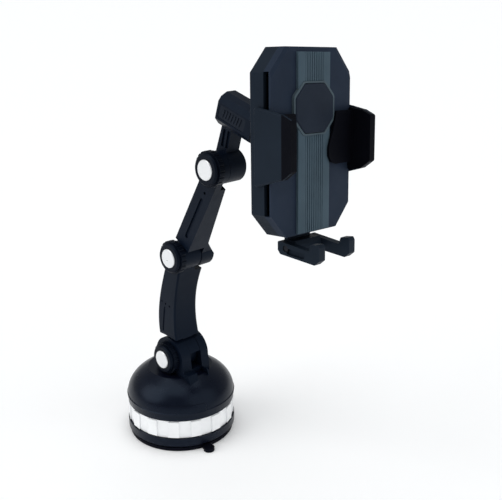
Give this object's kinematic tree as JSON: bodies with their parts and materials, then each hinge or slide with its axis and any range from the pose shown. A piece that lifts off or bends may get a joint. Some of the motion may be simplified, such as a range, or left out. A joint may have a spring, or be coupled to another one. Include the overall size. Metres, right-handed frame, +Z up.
{
  "type": "car phone mount",
  "caption": "Suction phone mount: a round twist-lock base, two hinged arms with side knobs, and a ball-jointed cradle with sliding side clamps and fold-out feet.",
  "frame": {"origin": "centre of the suction cup's underside", "axes": "+Z up from the surface it is stuck to; +X the way the phone cradle faces; the three arm hinges turn about axes along Y, with their knobs on the -Y side"},
  "size_m": [0.1821, 0.078, 0.2798],
  "materials": {
    "cup_rubber": "smooth black rubber",
    "anchor_plastic": "moulded",
    "base_black": "satin moulded plastic",
    "silver_ring": "satin silver",
    "steel": "plated",
    "black_steel": "blackened",
    "spring_steel": "wire",
    "arm_black": "fine-textured moulded plastic",
    "badge_black": "moulded",
    "knob_black": "fluted moulded plastic",
    "silver_cap": "satin silver",
    "liner_plastic": "low-friction moulded plastic",
    "cradle_black": "fine-textured moulded plastic",
    "plate_blue_grey": "fine-textured moulded plastic",
    "strip_slate": "ribbed moulded plastic",
    "bezel_grey": "moulded",
    "button_slate": "moulded",
    "pad_rubber": "soft rubber"
  },
  "bodies": {
    "base": {"suction_cup": "cup_rubber", "lower_housing": "base_black", "base_cover": "base_black", "base_screws": "steel", "base_yoke": "arm_black", "yoke_screws": "steel", "hinge_bolt_1": "steel", "washer_1": "steel", "plunger_spring": "spring_steel"},
    "lock_ring": {"lock_ring": "silver_ring"},
    "plunger": {"plunger_stem": "steel", "cup_anchor": "anchor_plastic", "plunger_pin": "steel"},
    "arm_1": {"lower_arm": "arm_black", "washer_2": "steel"},
    "knob_1": {"knob_1": "knob_black", "knob_cap_1": "silver_cap", "knob_nut_1": "steel"},
    "arm_2": {"upper_arm": "arm_black", "hinge_bolt_2": "steel", "washer_3": "steel"},
    "knob_2": {"knob_2": "knob_black", "knob_cap_2": "silver_cap", "knob_nut_2": "steel"},
    "neck": {"neck_link": "arm_black", "head_badge": "badge_black", "ball_stud": "steel", "hinge_bolt_3": "steel"},
    "knob_3": {"knob_3": "knob_black", "knob_cap_3": "silver_cap", "knob_nut_3": "steel"},
    "ball_liner_rear": {"rear_liner": "liner_plastic"},
    "ball_liner_front": {"front_liner": "liner_plastic"},
    "cradle": {"back_shell": "cradle_black", "front_plate": "plate_blue_grey", "upper_strip": "strip_slate", "lower_strip": "strip_slate", "button_bezel": "bezel_grey", "case_screws": "steel", "trigger_spring": "spring_steel", "pinion_pin": "steel", "clamp_spring": "spring_steel"},
    "collar": {"collar_nut": "knob_black"},
    "left_clamp": {"clamp_left": "cradle_black", "pad_left": "pad_rubber"},
    "right_clamp": {"clamp_right": "cradle_black", "pad_right": "pad_rubber"},
    "pinion": {"pinion": "liner_plastic"},
    "trigger": {"trigger_button": "button_slate"},
    "foot": {"foot_slider": "cradle_black", "foot_left": "cradle_black", "foot_right": "cradle_black", "foot_screws": "black_steel"}
  },
  "joints": [
    {"name": "lock_turn", "type": "hinge", "parent": "base", "child": "lock_ring", "pos_m": [0, 0, 0.0235], "axis": [0, 0, 1], "range_deg": [0, 60]},
    {"name": "plunger_lift", "type": "slide", "parent": "base", "child": "plunger", "axis": [0, 0, 1], "range_m": [0, 0.0025], "deforming": ["plunger_spring"]},
    {"name": "hinge_1", "type": "hinge", "parent": "base", "child": "arm_1", "pos_m": [0.0035, 0, 0.0603], "axis": [0, 1, 0], "range_deg": [-40, 50]},
    {"name": "knob_1_turn", "type": "hinge", "parent": "base", "child": "knob_1", "pos_m": [0.0035, 0, 0.0603], "axis": [0, -1, 0], "range_deg": [0, 180]},
    {"name": "hinge_2", "type": "hinge", "parent": "arm_1", "child": "arm_2", "pos_m": [0.0147, 0, 0.1382], "axis": [0, -1, 0], "range_deg": [-60, 60]},
    {"name": "knob_2_turn", "type": "hinge", "parent": "arm_2", "child": "knob_2", "pos_m": [0.0147, 0, 0.1382], "axis": [0, -1, 0], "range_deg": [0, 180]},
    {"name": "hinge_3", "type": "hinge", "parent": "arm_2", "child": "neck", "pos_m": [0.0531, 0, 0.2041], "axis": [0, -1, 0], "range_deg": [-50, 50]},
    {"name": "knob_3_turn", "type": "hinge", "parent": "neck", "child": "knob_3", "pos_m": [0.0531, 0, 0.2041], "axis": [0, -1, 0], "range_deg": [0, 180]},
    {"name": "ball_pan", "type": "hinge", "parent": "neck", "child": "ball_liner_rear", "pos_m": [0.09709, -0.00064, 0.22628], "axis": [0, 0, 1], "range_deg": [-10, 10]},
    {"name": "ball_tilt", "type": "hinge", "parent": "ball_liner_rear", "child": "ball_liner_front", "pos_m": [0.09709, -0.00064, 0.22628], "axis": [0, 1, 0], "range_deg": [-3, 38]},
    {"name": "ball_spin", "type": "hinge", "parent": "ball_liner_front", "child": "cradle", "pos_m": [0.09709, -0.00064, 0.22628], "axis": [0.9962, 0.0348, 0.0802], "continuous": true},
    {"name": "collar_turn", "type": "hinge", "parent": "cradle", "child": "collar", "pos_m": [0.09709, -0.00064, 0.22628], "axis": [-0.9962, -0.0348, -0.0802], "range_deg": [0, 90]},
    {"name": "left_clamp_slide", "type": "slide", "parent": "cradle", "child": "left_clamp", "axis": [0.0295, -0.9974, 0.0661], "range_m": [0, 0.014], "stiffness_N_per_m": 60, "springref_m": -0.01},
    {"name": "right_clamp_slide", "type": "slide", "parent": "cradle", "child": "right_clamp", "axis": [-0.0295, 0.9974, -0.0661], "range_m": [0, 0.014]},
    {"name": "pinion_turn", "type": "hinge", "parent": "cradle", "child": "pinion", "pos_m": [0.12178, -0.0004, 0.2188], "axis": [0.9962, 0.0348, 0.0802], "range_deg": [-1, 101]},
    {"name": "trigger_press", "type": "slide", "parent": "cradle", "child": "trigger", "axis": [-0.9962, -0.0348, -0.0802], "range_m": [0, 0.0013], "stiffness_N_per_m": 400, "springref_m": -0.001},
    {"name": "foot_slide", "type": "slide", "parent": "cradle", "child": "foot", "axis": [0.0823, -0.0634, -0.9946], "range_m": [0, 0.02]}
  ],
  "couplings": [
    {"joint": "plunger_lift", "follows": "lock_turn", "m_per_rad": 0.0023873},
    {"joint": "right_clamp_slide", "follows": "left_clamp_slide", "ratio": 1},
    {"joint": "pinion_turn", "follows": "left_clamp_slide", "rad_per_m": 125}
  ]
}
